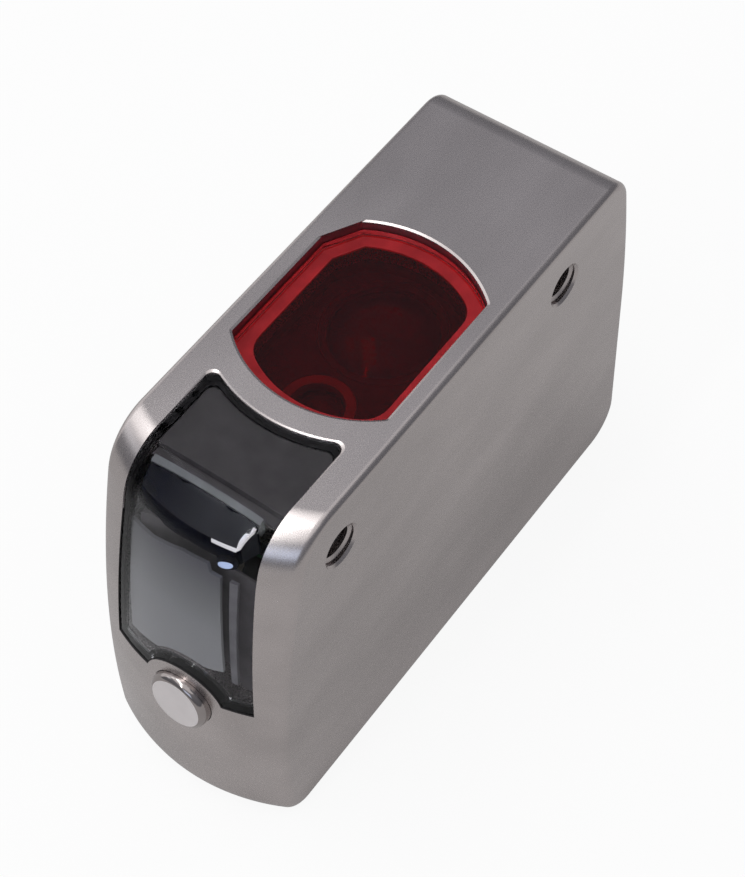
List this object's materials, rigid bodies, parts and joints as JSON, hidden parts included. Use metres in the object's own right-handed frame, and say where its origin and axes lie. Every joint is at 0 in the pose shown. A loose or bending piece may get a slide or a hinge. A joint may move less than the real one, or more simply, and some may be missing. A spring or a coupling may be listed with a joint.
{
  "type": "laser photoelectric sensor",
  "caption": "Slim laser photoelectric sensor with a satin steel housing, a red lens window, a smoked display window that wraps round its bowed end, and a set button.",
  "frame": {"origin": "middle of the overall box at its base, which is the sensor's back", "axes": "+Z from the back to the lens face, +Y from the display end to the cable end, X across the two mounting sides"},
  "size_m": [0.0154, 0.048, 0.03],
  "materials": {
    "satin_steel": "satin, bead blasted",
    "button_steel": "polished cone, matte face",
    "gland_steel": "turned, satin",
    "screw_steel": "plain",
    "red_window": "clear red, polished",
    "smoked_window": "smoked, polished",
    "window_bond": "pale cured adhesive",
    "clear_lens": "clear, polished",
    "light_guide": "clear plastic, polished",
    "diffuser": "grey film under the window",
    "black_plastic": "moulded, matte",
    "black_rubber": "matte",
    "circuit_board": "green lacquer",
    "chip": "moulded, matte",
    "lamp": "cast resin",
    "connector": "moulded",
    "flat_cable": "amber film",
    "brass": "turned"
  },
  "bodies": {
    "sensor": {"housing": "satin_steel", "rear_cover": "satin_steel", "lens_window": "red_window", "lens_seal": "window_bond", "display_window": "smoked_window", "display_seal": "black_rubber", "tact_switch": "black_plastic", "display_board": "circuit_board", "display_diffuser": "diffuser", "segment_display": "black_plastic", "display_shroud": "black_plastic", "light_guide": "light_guide", "indicator_lamps": "lamp", "optical_frame": "black_plastic", "receiver_lens": "clear_lens", "lens_retainer": "black_plastic", "emitter_lens": "clear_lens", "laser_sleeve": "brass", "laser_diode": "brass", "imager_board": "circuit_board", "image_sensor": "chip", "main_board": "circuit_board", "board_chips": "chip", "board_connector": "connector", "ribbon_cable": "flat_cable", "frame_screws": "screw_steel", "board_screws": "screw_steel", "cable_gland": "gland_steel", "gland_washer": "black_rubber", "gland_nut": "gland_steel", "cable_sleeve": "black_rubber"},
    "button": {"set_button": "button_steel", "button_ring": "black_rubber", "switch_plunger": "connector"}
  },
  "joints": [
    {"name": "button_press", "type": "slide", "parent": "sensor", "child": "button", "axis": [0, 0.9877, -0.1564], "range_m": [0, 0.0003], "stiffness_N_per_m": 50, "springref_m": -0.0005}
  ]
}
